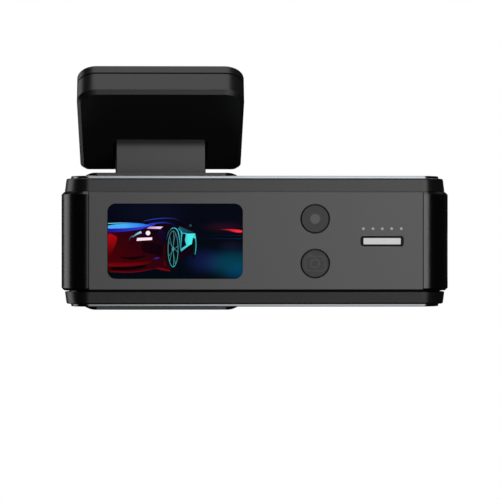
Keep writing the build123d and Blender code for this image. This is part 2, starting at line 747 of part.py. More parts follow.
# ---- Memory card and its socket ----
with BuildPart() as memory_card:
    with BuildSketch(across(card_depth + card_thickness / 2)):
        with Locations((card_end - card_length / 2, card_height)):
            RectangleRounded(card_length, card_width, 0.6)
    extrude(amount=card_thickness)
save(memory_card, "memory_card")

socket_right, socket_left = 43.0, 29.4
with BuildPart() as card_socket:
    with BuildSketch(across(board_rear + 2)):
        with Locations(((socket_left + socket_right) / 2, card_height)):
            Rectangle(socket_right - socket_left, card_width + 1.6)
    extrude(amount=2)
    with BuildSketch(end_on(socket_right)):
        with Locations((card_depth, card_height)):
            Rectangle(card_thickness + 0.3, card_width + 0.3)
    extrude(amount=card_end - card_length - socket_right - 0.3, mode=Mode.SUBTRACT)
save(card_socket, "card_socket")

# =====================================================================================================
# Lens
# =====================================================================================================

# ---- Image sensor, its board and the ribbon through the frame ----
sensor_rear = sensor_board_depth + 0.8
with BuildPart() as sensor_board:
    with BuildSketch(across(sensor_rear)):
        with Locations((block_x, 0)):
            Rectangle(sensor_board_size, sensor_board_size)
    extrude(amount=0.8)
save(sensor_board, "sensor_board")

with BuildPart() as image_sensor:
    with BuildSketch(across(sensor_rear + 1)):
        with Locations((block_x, 0)):
            Rectangle(8.4, 7.2)
    extrude(amount=1)
save(image_sensor, "image_sensor")

with BuildPart() as sensor_flex:
    with BuildSketch(end_on(block_x - 4)):
        with BuildLine() as route:
            FilletPolyline(
                (sensor_board_depth - ribbon / 2, -1),
                (sensor_board_depth - ribbon / 2, -6),
                (board_rear + ribbon / 2, -6),
                (board_rear + ribbon / 2, -9.5),
                radius=0.4,
            )
        trace(route.line, line_width=ribbon)
    extrude(amount=8)
save(sensor_flex, "sensor_flex")

# ---- Lens holder: a square base with ears, and a round neck for the barrel's thread ----
holder_base_end, holder_end = sensor_rear + 4, 25.0
ear_thickness = 1.6
ear_rear = sensor_rear + ear_thickness
with BuildPart() as lens_holder:
    with BuildSketch(across(holder_base_end)):
        with Locations((block_x, 0)):
            Rectangle(holder_size, holder_size)
    extrude(amount=holder_base_end - sensor_rear)
    with BuildSketch(across(ear_rear)):
        with Locations((block_x, 0)):
            SlotOverall(2 * holder_ear_x + 3.8, 3.8)
    extrude(amount=ear_thickness)
    with BuildSketch(across(holder_end)):
        with Locations((block_x, 0)):
            Circle(barrel_radius)
    extrude(amount=holder_end - holder_base_end)
    with BuildSketch(across(holder_base_end)):
        with Locations((block_x, 0)):
            Rectangle(10, 10)
    extrude(amount=4, mode=Mode.SUBTRACT)
    with BuildSketch(across(holder_end)):
        with Locations((block_x, 0)):
            Circle(barrel_thread_radius)
    extrude(amount=holder_end - holder_base_end, mode=Mode.SUBTRACT)
    with BuildSketch(across(ear_rear)):
        with Locations(*holder_screws):
            Circle(screw_radius)
    extrude(amount=ear_thickness, mode=Mode.SUBTRACT)
save(lens_holder, "lens_holder")

# ---- Barrel: a threaded tube in the holder and a wider head in front of it ----
barrel_start, barrel_end, element_seat = holder_base_end + 0.6, 35.4, 1.6
with BuildPart() as lens_barrel:
    with BuildSketch(across(holder_end)):
        with Locations((block_x, 0)):
            Circle(barrel_thread_radius)
    extrude(amount=holder_end - barrel_start)
    with BuildSketch(across(barrel_end)):
        with Locations((block_x, 0)):
            Circle(barrel_radius)
    extrude(amount=barrel_end - holder_end)
    with BuildSketch(across(barrel_end)):
        with Locations((block_x, 0)):
            Circle(4.4)
    extrude(amount=barrel_end - barrel_start, mode=Mode.SUBTRACT)
    with BuildSketch(across(barrel_end)):
        with Locations((block_x, 0)):
            Circle(6.4)
    extrude(amount=4, mode=Mode.SUBTRACT)
    with BuildSketch(across(barrel_start + element_seat)):
        with Locations((block_x, 0)):
            Circle(5)
    extrude(amount=element_seat, mode=Mode.SUBTRACT)
save(lens_barrel, "lens_barrel")

# ---- Glass elements, each turned round the optical axis ----
optical_axis = Axis((body_x + block_x, face_y, body_z), (0, 1, 0))
front_seat, front_rim, dome_rise = barrel_end - 4, 1.2, 2.4
dome_radius = (6.4**2 + dome_rise**2) / (2 * dome_rise)
dome_centre = (front_seat + front_rim + dome_rise - dome_radius, 0)
with BuildPart() as front_lens_element:
    with BuildSketch(end_on(block_x)):
        with BuildLine():
            Line((front_seat, 0), (front_seat, 6.4))
            Line((front_seat, 6.4), (front_seat + front_rim, 6.4))
            CenterArc(dome_centre, dome_radius, 0, math.degrees(math.asin(6.4 / dome_radius)))
            Line((front_seat + front_rim + dome_rise, 0), (front_seat, 0))
        make_face()
    revolve(axis=optical_axis)
save(front_lens_element, "front_lens_element")

with BuildPart() as rear_lens_element:
    with BuildSketch(end_on(block_x)):
        with BuildLine():
            Line((barrel_start + 0.4, 0), (barrel_start, 5))
            Line((barrel_start, 5), (barrel_start + element_seat, 5))
            Line((barrel_start + element_seat, 5), (barrel_start + element_seat, 0))
            Line((barrel_start + element_seat, 0), (barrel_start + 0.4, 0))
        make_face()
    revolve(axis=optical_axis)
save(rear_lens_element, "rear_lens_element")

# ---- Bezel in the block's opening, with the cover glass in it ----
ring_front = block_end + 1.5
with BuildPart() as lens_trim_ring:
    with BuildSketch(end_on(block_x)):
        with BuildLine():
            Polyline(
                (block_end - wall, lens_opening_radius - butt_gap),
                (block_end, lens_opening_radius - butt_gap),
                (block_end, lens_ring_radius),
                (block_end + 0.5, lens_ring_radius),
                (ring_front, lens_ring_radius - 1.0),
                (ring_front, lens_ring_radius - 1.6),
                (block_end + 1.0, lens_glass_radius),
                (block_end, lens_glass_radius),
                (block_end, lens_glass_radius - 0.8),
                (block_end - wall, lens_glass_radius - 0.2),
                close=True,
            )
        make_face()
    revolve(axis=optical_axis)
save(lens_trim_ring, "lens_trim_ring")

with BuildPart() as lens_cover_glass:
    with BuildSketch(across(block_end + 0.9)):
        with Locations((block_x, 0)):
            Circle(lens_glass_radius)
    extrude(amount=0.9)
save(lens_cover_glass, "lens_cover_glass")

# ---- Screws ----
with BuildPart() as case_screws:
    with Locations(Plane(across(board_depth).origin, x_dir=(1, 0, 0), z_dir=(0, -1, 0))):
        with Locations(*board_screws):
            add(small_screw.part)
    with Locations(across(frame_depth)):
        with Locations(*block_screws):
            add(small_screw.part)
    with Locations(Plane(across(ear_rear).origin, x_dir=(-1, 0, 0), z_dir=(0, 1, 0))):
        with Locations(*[(-x, z) for x, z in holder_screws]):
            add(small_screw.part)
    with Locations(level(cover_top - screw_head_thickness)):
        with Locations(*[(x, lug_depth) for x in lug_places]):
            add(small_screw.part)
    with Locations(Plane(level(screw_head_thickness - cover_top).origin, x_dir=(1, 0, 0), z_dir=(0, 0, -1))):
        with Locations(*[(x, -lug_depth) for x in lug_places]):
            add(small_screw.part)
    with Locations(Plane(level(foot_top - foot_thickness).origin, x_dir=(1, 0, 0), z_dir=(0, 0, -1))):
        with Locations(*[(x, -foot_screw_depth) for x in foot_screws]):
            add(small_screw.part)
save(case_screws, "case_screws")
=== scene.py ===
import math

import bmesh
import bpy
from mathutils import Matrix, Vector


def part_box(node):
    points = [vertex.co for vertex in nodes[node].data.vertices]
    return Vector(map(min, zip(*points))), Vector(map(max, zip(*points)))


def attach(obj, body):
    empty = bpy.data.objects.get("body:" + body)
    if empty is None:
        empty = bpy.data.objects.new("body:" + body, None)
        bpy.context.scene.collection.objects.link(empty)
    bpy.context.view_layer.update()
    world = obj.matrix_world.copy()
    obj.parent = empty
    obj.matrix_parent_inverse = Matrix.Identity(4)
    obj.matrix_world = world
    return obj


# Looks for the dash camera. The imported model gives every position; lengths here are in millimetres and
# are turned into metres by MM where they meet Blender. Flat shapes on the driver's side are drawn in
# x to the right and z up, from the middle of the piece that carries them.
MM = 0.001

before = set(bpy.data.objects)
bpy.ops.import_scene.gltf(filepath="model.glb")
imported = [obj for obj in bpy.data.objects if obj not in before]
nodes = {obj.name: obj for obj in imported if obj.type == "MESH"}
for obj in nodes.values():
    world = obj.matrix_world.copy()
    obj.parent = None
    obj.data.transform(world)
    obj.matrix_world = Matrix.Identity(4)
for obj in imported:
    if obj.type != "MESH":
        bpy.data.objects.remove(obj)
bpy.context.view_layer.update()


def front_middle(node):
    """The middle of a node's box, on its driver's side."""
    low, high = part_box(node)
    return Vector(((low[0] + high[0]) / 2, low[1], (low[2] + high[2]) / 2))


face_middle = front_middle("faceplate")
window_middle = front_middle("display_window")


# =====================================================================================================
# Materials
# =====================================================================================================
class Surface:
    """A new material: its Principled shader, and short ways to add nodes to it."""

    def __init__(self, name, **sockets):
        self.material = bpy.data.materials.new(name)
        self.material.use_nodes = True
        self.tree = self.material.node_tree
        self.shader = self.tree.nodes["Principled BSDF"]
        self.place = self.add("ShaderNodeTexCoord").outputs["Object"]
        for socket, value in sockets.items():
            self.shader.inputs[socket.replace("_", " ")].default_value = value

    def add(self, kind, **settings):
        """Adds a node. Settings name its properties, or its inputs when they hold a link or a value."""
        node = self.tree.nodes.new(kind)
        for key, value in settings.items():
            if hasattr(node, key):
                setattr(node, key, value)
            else:
                self.feed(node, key.replace("_", " "), value)
        return node

    def feed(self, node, socket, value):
        """Gives an input of a node a value, or a link when the value is another node's output."""
        if isinstance(value, bpy.types.NodeSocket):
            self.tree.links.new(value, node.inputs[socket])
        else:
            node.inputs[socket].default_value = value

    def noise(self, size, detail=3, stretch=(1, 1, 1)):
        """Noise whose lumps are `size` millimetres across, stretched by a factor along each axis."""
        scale = [1 / (size * MM * factor) for factor in stretch]
        spread = self.add("ShaderNodeMapping", Vector=self.place, Scale=scale)
        lumps = self.add("ShaderNodeTexNoise", Vector=spread.outputs[0], Scale=1.0, Detail=detail)
        return lumps.outputs["Fac"]

    def between(self, factor, low, high):
        """Maps a factor from 0 to 1 onto a range."""
        return self.add("ShaderNodeMapRange", Value=factor, To_Min=low, To_Max=high).outputs["Result"]

    def shade(self, factor, dark, light):
        """Runs from one colour to another with a factor."""
        ramp = self.add("ShaderNodeValToRGB", Fac=factor)
        ramp.color_ramp.elements[0].color = (*dark, 1)
        ramp.color_ramp.elements[1].color = (*light, 1)
        return ramp.outputs["Color"]

    def along(self, start, end):
        """A factor that grows from 0 at one place to 1 at another, both in metres."""
        way = Vector(end) - Vector(start)
        offset = self.add("ShaderNodeVectorMath", operation="SUBTRACT")
        self.feed(offset, 0, self.place)
        self.feed(offset, 1, start)
        share = self.add("ShaderNodeVectorMath", operation="DOT_PRODUCT")
        self.feed(share, 0, offset.outputs[0])
        self.feed(share, 1, way / way.length_squared)
        return self.between(share.outputs["Value"], 0.0, 1.0)

    def pool(self, middle, reach_x, reach_z):
        """A factor that is 1 in the middle of a flat ellipse and fades softly to 0 at its edge."""
        offset = self.add("ShaderNodeVectorMath", operation="SUBTRACT")
        self.feed(offset, 0, self.place)
        self.feed(offset, 1, middle)
        scaled = self.add("ShaderNodeVectorMath", operation="MULTIPLY")
        self.feed(scaled, 0, offset.outputs[0])
        self.feed(scaled, 1, (1 / reach_x, 0, 1 / reach_z))
        far = self.add("ShaderNodeVectorMath", operation="LENGTH")
        self.feed(far, 0, scaled.outputs[0])
        fade = self.add("ShaderNodeMapRange", interpolation_type="SMOOTHERSTEP", Value=far.outputs["Value"])
        fade.inputs["To Min"].default_value = 1.0
        fade.inputs["To Max"].default_value = 0.0
        return fade.outputs["Result"]

    def finish(self, color=None, roughness=None, height=None, depth=0.001, light=None):
        """Links a colour, a roughness, a bump of `depth` millimetres and an own light to the shader."""
        if color is not None:
            self.feed(self.shader, "Base Color", color)
        if roughness is not None:
            self.feed(self.shader, "Roughness", roughness)
        if height is not None:
            bump = self.add("ShaderNodeBump", Height=height, Distance=depth * MM, Strength=1.0)
            self.feed(self.shader, "Normal", bump.outputs["Normal"])
        if light is not None:
            self.feed(self.shader, "Emission Color", light)
        return self.material


# ---- Linear colours that several materials share ----
ink_black = (0.0015, 0.0015, 0.0016)
case_black = (0.006, 0.006, 0.0063)
face_black = (0.007, 0.007, 0.0073)


def tone(color, factor):
    """A colour made lighter or darker."""
    return tuple(channel * factor for channel in color)


def grained_plastic(name, color, roughness, grain=0.16, gloss=0.5):
    """Moulded satin plastic with a spark-eroded grain and slightly uneven colour and gloss."""
    surface = Surface(name, Specular_IOR_Level=gloss)
    grain_noise = surface.noise(grain, detail=4)
    return surface.finish(
        color=surface.shade(surface.noise(9), tone(color, 0.92), tone(color, 1.08)),
        roughness=surface.between(grain_noise, roughness - 0.04, roughness + 0.04),
        height=grain_noise,
    )


def plastic_painted_dark_outside_band(name, color, roughness, middle, half_band, gloss=0.5):
    """Satin plastic in a band round a middle, and outside it painted shade: a metal so dark that it
    reflects almost nothing. `half_band` is the way from the middle to the edge of the band, in millimetres."""
    surface = Surface(name, Specular_IOR_Level=gloss)
    reach = 2 * MM * Vector(half_band)
    painted_dark = surface.add("ShaderNodeValToRGB", Fac=surface.along(middle - reach, middle + reach))
    stops = painted_dark.color_ramp.elements
    painted_dark.color_ramp.interpolation = "CONSTANT"
    stops[0].color = (1, 1, 1, 1)
    stops[1].color = (1, 1, 1, 1)
    stops[1].position = 0.75
    stops.new(0.25).color = (0, 0, 0, 1)
    grain = surface.noise(0.16, detail=4)
    colors = surface.add("ShaderNodeMix", data_type="RGBA")
    surface.feed(colors, "Factor", painted_dark.outputs["Color"])
    surface.feed(colors, 6, surface.shade(surface.noise(9), tone(color, 0.92), tone(color, 1.08)))
    # The near-black metal outside the band is painted shade.
    surface.feed(colors, 7, (*ink_black, 1))
    surface.feed(surface.shader, "Metallic", painted_dark.outputs["Color"])
    satin = surface.between(grain, roughness - 0.04, roughness + 0.04)
    return surface.finish(
        color=colors.outputs[2],
        roughness=surface.between(painted_dark.outputs["Color"], satin, 0.3),
        height=grain,
    )


def gloss_plastic(name, color, roughness=0.12, gloss=0.5):
    """Polished plastic with faint waviness and hairline wear in its gloss."""
    surface = Surface(name, Specular_IOR_Level=gloss)
    hairlines = surface.noise(0.12, detail=6, stretch=(1, 1, 14))
    return surface.finish(
        color=surface.shade(surface.noise(12), tone(color, 0.85), tone(color, 1.15)),
        roughness=surface.between(hairlines, roughness * 0.8, roughness * 1.3),
        height=surface.noise(5, detail=1),
    )


def brushed_metal(name, color, roughness, stretch=(60, 1, 1)):
    """Metal brushed along its long axis."""
    surface = Surface(name, Metallic=1.0)
    lines = surface.noise(0.08, detail=5, stretch=stretch)
    return surface.finish(
        color=surface.shade(lines, tone(color, 0.93), tone(color, 1.06)),
        roughness=surface.between(lines, roughness - 0.06, roughness + 0.08),
        height=lines,
    )


def cast_metal(name, color, roughness):
    """Die-cast or plated metal with a fine orange-peel surface."""
    surface = Surface(name, Metallic=1.0)
    peel = surface.noise(0.5, detail=4)
    return surface.finish(
        color=surface.shade(surface.noise(4), tone(color, 0.9), tone(color, 1.05)),
        roughness=surface.between(peel, roughness - 0.1, roughness + 0.1),
        height=peel,
        depth=0.01,
    )


def soft_rubber(name, color, grain=0.3):
    """Rubber, foam or silicone: matt, with open pores."""
    surface = Surface(name, Sheen_Weight=0.15)
    pores = surface.noise(grain, detail=5)
    return surface.finish(
        color=surface.shade(pores, tone(color, 0.7), tone(color, 1.25)),
        roughness=surface.between(pores, 0.75, 0.95),
        height=pores,
        depth=0.03,
    )


def solder_mask(name, color):
    """Circuit board: green lacquer over a net of copper tracks."""
    surface = Surface(name, Coat_Weight=0.4)
    tracks = surface.add(
        "ShaderNodeTexBrick", Vector=surface.place, Scale=1 / (2.4 * MM), Mortar_Size=0.04, Bias=0.2
    ).outputs["Fac"]
    return surface.finish(
        color=surface.shade(tracks, color, tone(color, 2.2)),
        roughness=surface.between(surface.noise(1.5), 0.28, 0.42),
        height=tracks,
        depth=0.02,
    )


def coated_glass(name, tint, film):
    """A lens: dark, very smooth glass under a thin coating that colours its reflections."""
    surface = Surface(name, Coat_Weight=0.6, Coat_Roughness=0.02)
    surface.shader.inputs["Thin Film Thickness"].default_value = film
    surface.shader.inputs["Thin Film IOR"].default_value = 1.38
    return surface.finish(
        color=surface.shade(surface.noise(6), tone(tint, 0.8), tone(tint, 1.2)),
        roughness=surface.between(surface.noise(2), 0.02, 0.05),
    )


def clear_glass(name):
    """The flat cover in front of the lens, with a trace of dust in its gloss."""
    surface = Surface(name, Transmission_Weight=1.0, IOR=1.5)
    return surface.finish(
        color=surface.shade(surface.noise(7), (0.93, 0.96, 0.95), (0.98, 1.0, 0.99)),
        roughness=surface.between(surface.noise(1.2, detail=6), 0.0, 0.03),
    )


def milky_lamp(name, color, strength):
    """A milky surface lit from behind, a little uneven in brightness."""
    surface = Surface(name, Emission_Strength=strength)
    return surface.finish(
        color=surface.shade(surface.noise(3), tone(color, 0.1), tone(color, 0.12)),
        roughness=surface.between(surface.noise(0.5), 0.3, 0.42),
        light=surface.shade(surface.noise(1.6), tone(color, 0.9), color),
    )


# ---- Case and bracket ----
face_plastic = grained_plastic("face_plastic", face_black, 0.34)
band_plastic = grained_plastic("band_plastic", case_black, 0.31, gloss=0.43)
bracket_plastic = grained_plastic("bracket_plastic", case_black, 0.36, gloss=0.47)
panel_plastic = grained_plastic("panel_plastic", case_black, 0.36)
cap_gloss = gloss_plastic("cap_gloss", ink_black, roughness=0.21, gloss=0.46)
ring_gloss = gloss_plastic("ring_gloss", (0.002, 0.002, 0.0021), roughness=0.16, gloss=0.04)
bezel_gloss = gloss_plastic("bezel_gloss", (0.004, 0.004, 0.0043), roughness=0.16)
trim_metal = brushed_metal("trim_metal", (0.185, 0.197, 0.21), 0.2)
# Painted shade: the lower trim is the top trim's metal made darker, as it gets less light from above.
trim_metal_painted_shade = brushed_metal("trim_metal_painted_shade", (0.118, 0.125, 0.133), 0.2)

# ---- Painted shade: the lens block near black towards its corners in place of their dark reflections, and the lower cover where its seam looks inside ----
block_plastic_painted_dark = plastic_painted_dark_outside_band(
    "block_plastic_painted_dark", case_black, 0.36, front_middle("lens_block"), (15.75, 0, 0)
)
# Painted shade: the lower cover is near black above its lowest band, inside the seam, where shade falls.
low_band_plastic_painted_shade = plastic_painted_dark_outside_band(
    "low_band_plastic_painted_shade", case_black, 0.31, Vector(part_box("bottom_cover")[0]), (0, 0, 2.9), gloss=0.43
)

# ---- Keys and prints ----
key_plastic = grained_plastic("key_plastic", case_black, 0.34, grain=0.1, gloss=0.27)
dot_paint = grained_plastic("dot_paint", face_black, 0.34, grain=0.1)
sign_paint = grained_plastic("sign_paint", case_black, 0.34, grain=0.1, gloss=0.37)
print_grey = grained_plastic("print_grey", (0.46, 0.46, 0.47), 0.5, grain=0.1)
lamp_white = milky_lamp("lamp_white", (1.0, 1.0, 0.98), 0.45)

# ---- Inside ----
chip_plastic = grained_plastic("chip_plastic", (0.02, 0.02, 0.022), 0.6, grain=0.08)
card_plastic = grained_plastic("card_plastic", (0.03, 0.03, 0.035), 0.55, grain=0.1)
sleeve_plastic = gloss_plastic("sleeve_plastic", (0.02, 0.05, 0.2), roughness=0.3)
ribbon_film = gloss_plastic("ribbon_film", (0.42, 0.2, 0.04), roughness=0.3)
dark_steel = brushed_metal("dark_steel", (0.05, 0.05, 0.052), 0.35)
switch_steel = brushed_metal("switch_steel", (0.6, 0.6, 0.62), 0.3)
socket_steel = brushed_metal("socket_steel", (0.5, 0.5, 0.52), 0.28, stretch=(1, 1, 30))
screw_steel = cast_metal("screw_steel", (0.08, 0.08, 0.085), 0.4)
frame_metal = cast_metal("frame_metal", (0.55, 0.56, 0.58), 0.45)
sink_metal = cast_metal("sink_metal", (0.12, 0.12, 0.13), 0.5)
barrel_metal = cast_metal("barrel_metal", (0.03, 0.03, 0.033), 0.45)
black_rubber = soft_rubber("black_rubber", (0.02, 0.02, 0.02), grain=0.15)
thermal_silicone = soft_rubber("thermal_silicone", (0.3, 0.34, 0.42), grain=0.2)
board_lacquer = solder_mask("board_lacquer", (0.01, 0.08, 0.035))

# ---- Pad and lens ----
pad_foam = soft_rubber("pad_foam", (0.035, 0.035, 0.037))
lens_coating = coated_glass("lens_coating", (0.01, 0.012, 0.03), 420)
inner_coating = coated_glass("inner_coating", (0.012, 0.03, 0.02), 300)
cover_glass = clear_glass("cover_glass")


# ---- The screen: a dark glass whose own light is the night scene behind the car ----
screen_gloss = 0.004


def display_color(red, green, blue):
    """A colour as a display gives it, 0 to 255 a channel, as the linear colour that the shader needs."""
    def linear(channel):
        share = channel / 255
        return share / 12.92 if share <= 0.04045 else ((share + 0.055) / 1.055) ** 2.4
    return linear(red), linear(green), linear(blue)


def on_screen(x, z):
    """A place on the screen, in metres, from millimetres off its middle."""
    return window_middle + MM * Vector((x, 0, z))


def night_scene(name, sky, pools):
    """Screen glass. Its light is a dark sky with soft pools of colour, each (x, z, reach x, reach z,
    colour) in millimetres from the middle of the screen."""
    surface = Surface(name, Specular_IOR_Level=screen_gloss, Emission_Strength=1.0)
    light = surface.shade(surface.along(on_screen(0, 9), on_screen(0, -9)), *sky)
    for x, z, reach_x, reach_z, color in pools:
        glow = surface.add("ShaderNodeMix", data_type="RGBA", blend_type="ADD")
        surface.feed(glow, "Factor", surface.pool(on_screen(x, z), reach_x * MM, reach_z * MM))
        surface.feed(glow, 6, light)
        surface.feed(glow, 7, (*color, 1))
        light = glow.outputs[2]
    return surface.finish(
        color=surface.shade(surface.noise(8), (0.0002, 0.0002, 0.0004), (0.0005, 0.0005, 0.0008)),
        roughness=surface.between(surface.noise(2, detail=5), 0.1, 0.16),
        light=light,
    )


def picture_paint(name, start, start_color, end, end_color):
    """A lit part of the picture that runs from one colour to another across the screen."""
    surface = Surface(name, Specular_IOR_Level=screen_gloss, Emission_Strength=1.0)
    ground = surface.shade(surface.noise(5), (0.0002, 0.0002, 0.0002), (0.0005, 0.0005, 0.0005))
    return surface.finish(
        color=ground,
        roughness=surface.between(surface.noise(2), 0.1, 0.16),
        light=surface.shade(
            surface.along(on_screen(*start), on_screen(*end)),
            display_color(*start_color),
            display_color(*end_color),
        ),
    )


screen_glass = night_scene(
    "screen_glass",
    (display_color(3, 5, 17), display_color(1, 7, 15)),
    [
        (14.0, -5.4, 9.0, 5.0, display_color(0, 57, 76)),
        (16.0, -7.8, 6.0, 4.0, display_color(0, 31, 60)),
        (7.2, -4.8, 6.5, 4.5, display_color(11, 18, 60)),
        (11.5, 3.4, 7.0, 1.9, display_color(30, 3, 16)),
        (13.5, -1.0, 5.0, 1.6, display_color(12, 8, 28)),
        (-6.0, 7.0, 14.0, 5.0, display_color(4, 6, 20)),
    ],
)

node_finish = {
    face_plastic: ["faceplate"],
    band_plastic: ["top_cover"],
    low_band_plastic_painted_shade: ["bottom_cover"],
    panel_plastic: ["front_panel"],
    block_plastic_painted_dark: ["lens_block"],
    bracket_plastic: ["bracket_arm", "mount_shell", "mount_cover"],
    key_plastic: ["snapshot_button", "record_button"],
    cap_gloss: ["left_end_cap", "right_end_cap"],
    ring_gloss: ["status_light_surround"],
    bezel_gloss: ["lens_trim_ring"],
    screen_glass: ["display_window"],
    chip_plastic: [
        "display_module", "processor", "speaker", "rear_camera_jack", "image_sensor", "lens_holder",
    ],
    card_plastic: ["memory_card"],
    sleeve_plastic: ["supercapacitors"],
    ribbon_film: ["display_flex", "sensor_flex"],
    trim_metal: ["top_trim"],
    trim_metal_painted_shade: ["bottom_trim"],
    dark_steel: ["hinge_pin", "friction_washers"],
    switch_steel: ["tactile_switches", "microphone"],
    socket_steel: ["usb_c_socket", "card_socket"],
    screw_steel: ["mount_screws", "case_screws"],
    frame_metal: ["inner_frame"],
    sink_metal: ["heat_sink"],
    barrel_metal: ["lens_barrel"],
    pad_foam: ["adhesive_pad"],
    black_rubber: ["display_gasket", "keypad_membrane"],
    thermal_silicone: ["thermal_pad"],
    board_lacquer: ["main_board", "sensor_board"],
    lens_coating: ["front_lens_element"],
    inner_coating: ["rear_lens_element"],
    cover_glass: ["lens_cover_glass"],
    lamp_white: ["status_light_guide", "status_leds"],
}
for material, names in node_finish.items():
    for name in names:
        mesh = nodes[name].data
        mesh.materials.clear()
        mesh.materials.append(material)


# =====================================================================================================
# Flat shapes on the driver's side
# =====================================================================================================
def circle(x, z, radius, count=48, squeeze=1.0):
    """Points of a circle, or of an ellipse when its width is squeezed."""
    turns = [2 * math.pi * i / count for i in range(count)]
    return [(x + squeeze * radius * math.cos(a), z + radius * math.sin(a)) for a in turns]


def rounded_box(x, z, width, height, radius, count=8):
    """Points of a rounded rectangle, corner by corner."""
    points = []
    corners = ((1, 1, 0), (-1, 1, 90), (-1, -1, 180), (1, -1, 270))
    for side_x, side_z, start in corners:
        for i in range(count + 1):
            a = math.radians(start + 90 * i / count)
            points.append((
                x + side_x * (width / 2 - radius) + radius * math.cos(a),
                z + side_z * (height / 2 - radius) + radius * math.sin(a),
            ))
    return points


def curve_point(a, b, c, d, share):
    """A point between b and c on the smooth curve that runs through a, b, c and d."""
    def blend(p, q, r, s):
        slope_in, slope_out = (r - p) / 2, (s - q) / 2
        bend = 2 * q - 2 * r + slope_in + slope_out
        rise = 3 * (r - q) - 2 * slope_in - slope_out
        return ((bend * share + rise) * share + slope_in) * share + q
    return blend(a[0], b[0], c[0], d[0]), blend(a[1], b[1], c[1], d[1])


def smooth(points, steps=6):
    """A closed outline that runs smoothly through a few points."""
    count = len(points)
    return [
        curve_point(points[i - 1], points[i], points[(i + 1) % count], points[(i + 2) % count], k / steps)
        for i in range(count)
        for k in range(steps)
    ]


def stroke(points, widths, steps=6):
    """The outline of a brush stroke along a few points, with its width at each of them."""
    ends = [points[0], *points, points[-1]]
    spans = [(i, k / steps) for i in range(len(points) - 1) for k in range(steps)]
    line = [curve_point(*ends[i:i + 4], share) for i, share in spans] + [points[-1]]
    wide = [widths[i] + share * (widths[i + 1] - widths[i]) for i, share in spans] + [widths[-1]]
    upper, lower = [], []
    for i, ((x, z), width) in enumerate(zip(line, wide)):
        before, after = line[max(i - 1, 0)], line[min(i + 1, len(line) - 1)]
        run_x, run_z = after[0] - before[0], after[1] - before[1]
        length = math.hypot(run_x, run_z)
        side_x, side_z = -run_z / length * width / 2, run_x / length * width / 2
        upper.append((x + side_x, z + side_z))
        lower.append((x - side_x, z - side_z))
    return upper + lower[::-1]


def add_plate(mesh, origin, proud, outline):
    """Adds a thin solid plate, `proud` millimetres thick, that stands on the origin's plane."""
    front = [mesh.verts.new(origin + MM * Vector((x, -proud, z))) for x, z in outline]
    back = [mesh.verts.new(origin + MM * Vector((x, 0, z))) for x, z in outline]
    mesh.faces.new(front)
    mesh.faces.new(back[::-1])
    for i, corner in enumerate(front):
        mesh.faces.new((front[i - 1], back[i - 1], back[i], corner))


def add_ring(mesh, origin, proud, outer, inner):
    """Adds a thin solid ring between two outlines with the same number of points."""
    loops = [
        [mesh.verts.new(origin + MM * Vector((x, depth, z))) for x, z in outline]
        for outline, depth in ((outer, -proud), (outer, 0), (inner, 0), (inner, -proud))
    ]
    for here, there in zip(loops, loops[1:] + loops[:1]):
        for i in range(len(outer)):
            mesh.faces.new((here[i - 1], there[i - 1], there[i], here[i]))


def flat_piece(name, origin, proud, material, body, plates=(), rings=()):
    """A piece made of flat plates and rings on the driver's side."""
    mesh = bmesh.new()
    for outline in plates:
        add_plate(mesh, origin, proud, outline)
    for outer, inner in rings:
        add_ring(mesh, origin, proud, outer, inner)
    bmesh.ops.recalc_face_normals(mesh, faces=mesh.faces)
    data = bpy.data.meshes.new(name)
    mesh.to_mesh(data)
    mesh.free()
    data.materials.append(material)
    piece = bpy.data.objects.new(name, data)
    bpy.context.scene.collection.objects.link(piece)
    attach(piece, body)


# ---- Signs on the keys, and the row of dots over the status light ----
sign_proud, print_proud = 0.02, 0.01
flat_piece(
    "record_dot", front_middle("record_button"), sign_proud, dot_paint, "record_button",
    plates=[circle(0, 0, 1.2)],
)
flat_piece(
    "snapshot_sign", front_middle("snapshot_button"), sign_proud, sign_paint, "snapshot_button",
    plates=[rounded_box(-1.2, 2.05, 1.2, 0.3, 0.12), circle(1.7, 0.85, 0.22, count=20)],
    rings=[
        (rounded_box(0, 0, 5.0, 3.7, 0.8), rounded_box(0, 0, 4.5, 3.2, 0.55)),
        (circle(0, 0, 1.2), circle(0, 0, 0.8)),
    ],
)
flat_piece(
    "dot_row", front_middle("status_light_guide"), print_proud, print_grey, "camera",
    plates=[circle(x, 3.0, 0.33, count=20) for x in (-4.5, -2.2, 0.05, 2.3, 4.6)],
)


# =====================================================================================================
# The picture on the screen: a car at night, drawn in flat lit pieces, each a little prouder than the last
# =====================================================================================================
picture_half_width, layer_step = 16.1, 0.006


def picture_piece(name, layer, paint, plates=(), rings=()):
    """A part of the picture, `layer` steps proud of the glass and cut off at the picture's sides. Its
    paint is a start, the colour there, an end and the colour there."""
    plates = [
        [(max(-picture_half_width, min(picture_half_width, x)), z) for x, z in outline]
        for outline in plates
    ]
    material = picture_paint(name + "_paint", *paint)
    flat_piece(
        "picture_" + name, window_middle, layer_step * layer, material, "camera",
        plates, rings,
    )


# ---- Behind the car: a red light trail and thin reflections on the wet road ----
picture_piece(
    "tail_streak", 1, ((10.4, 0), (44, 6, 22), (15.2, 0), (255, 42, 60)),
    plates=[smooth([(10.6, 2.85), (13.4, 2.9), (15.9, 2.6), (15.8, 2.1), (14.4, 2.15), (12.6, 2.6)])],
)
picture_piece(
    "road_lines", 1, ((5.5, 0), (3, 12, 28), (15.5, 0), (4, 34, 70)),
    plates=[
        stroke([(5.8, 0.7), (10.5, 0.62), (16.0, 0.6)], [0.05, 0.14, 0.18]),
        stroke([(5.9, 1.5), (10.0, 1.45), (16.0, 1.4)], [0.04, 0.06, 0.1]),
    ],
)

